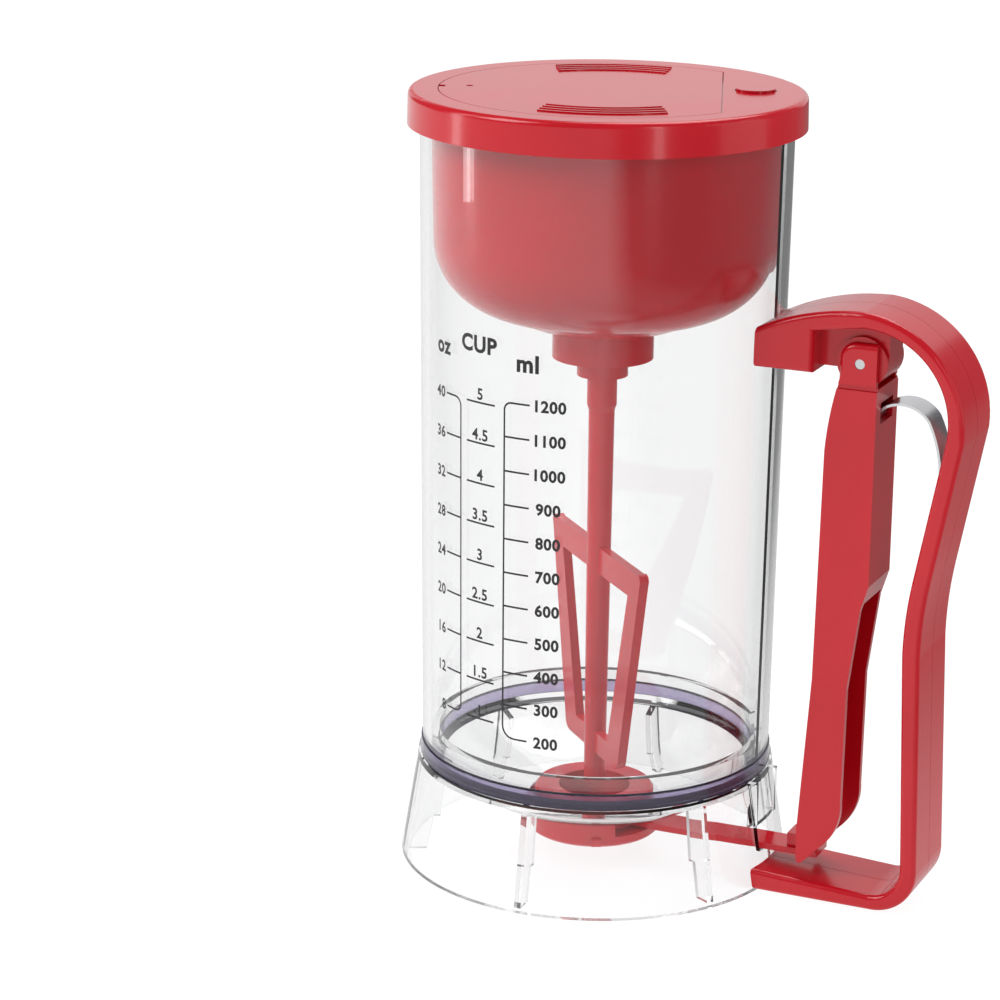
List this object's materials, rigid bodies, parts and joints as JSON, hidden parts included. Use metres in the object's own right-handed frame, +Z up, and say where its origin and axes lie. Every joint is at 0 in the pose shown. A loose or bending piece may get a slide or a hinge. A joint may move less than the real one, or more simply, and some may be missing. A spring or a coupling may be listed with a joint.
{
  "type": "batter dispenser",
  "caption": "Clear measuring tube with a trigger handle, a slide valve under its outlet and a motor stirrer in its lift-off lid.",
  "frame": {"origin": "centre of the base's bottom rim, on the floor plane and on the tube axis", "axes": "+Z up along the tube axis, +X towards the handle, +Y across the handle"},
  "size_m": [0.1854, 0.1258, 0.2506],
  "materials": {
    "clear_plastic": "clear glossy",
    "red_plastic": "glossy",
    "black_plastic": "satin",
    "seal_rubber": "satin",
    "steel": "satin",
    "bright_steel": "polished",
    "bronze": "satin",
    "cell_skin": "satin"
  },
  "bodies": {
    "container": {"container_tube": "clear_plastic", "base": "clear_plastic", "joint_seal": "seal_rubber", "outlet_seat": "red_plastic", "outlet_ring": "red_plastic", "handle_near_half": "red_plastic", "handle_far_half": "red_plastic", "handle_screws": "steel", "pivot_pin": "steel"},
    "trigger": {"trigger": "red_plastic", "link_pin": "steel", "leaf_spring": "bright_steel"},
    "valve": {"valve_slide": "red_plastic"},
    "lid": {"lid_cover": "red_plastic", "lid_screws": "steel", "motor_housing": "red_plastic", "battery_tray": "black_plastic", "battery_1": "cell_skin", "battery_2": "cell_skin", "battery_3": "cell_skin", "battery_4": "cell_skin", "contact_plate": "bright_steel", "contact_springs": "bright_steel", "switch_body": "black_plastic", "motor": "steel", "motor_bracket": "black_plastic", "motor_screws": "steel", "shaft_bush": "bronze", "lip_seal": "seal_rubber"},
    "cover": {"battery_cover": "red_plastic"},
    "button": {"power_button": "red_plastic"},
    "mixer": {"stirrer": "red_plastic", "drive_shaft": "steel", "shaft_coupling": "black_plastic"}
  },
  "joints": [
    {"name": "trigger_squeeze", "type": "hinge", "parent": "container", "child": "trigger", "pos_m": [0.088, 0, 0.1747], "axis": [0, -1, 0], "range_deg": [0, 7], "stiffness_Nm_per_rad": 4, "springref_deg": -3.44, "deforming": ["leaf_spring"]},
    {"name": "valve_slide", "type": "slide", "parent": "container", "child": "valve", "axis": [1, 0, 0], "range_m": [0, 0.0194]},
    {"name": "lid_lift", "type": "slide", "parent": "container", "child": "lid", "axis": [0, 0, 1], "range_m": [0, 0.24]},
    {"name": "stirrer_spin", "type": "hinge", "parent": "lid", "child": "mixer", "pos_m": [0, 0, 0.15], "axis": [0, 0, 1], "continuous": true},
    {"name": "battery_cover_tilt", "type": "hinge", "parent": "lid", "child": "cover", "pos_m": [0.03281, 0.0122, 0.2498], "axis": [-0.3486, 0.9373, 0], "range_deg": [0, 60]},
    {"name": "power_button_press", "type": "slide", "parent": "lid", "child": "button", "axis": [0, 0, -1], "range_m": [0, 0.0012], "stiffness_N_per_m": 1200, "springref_m": -0.0004}
  ],
  "couplings": [
    {"joint": "valve_slide", "follows": "trigger_squeeze", "m_per_rad": 0.1584}
  ]
}
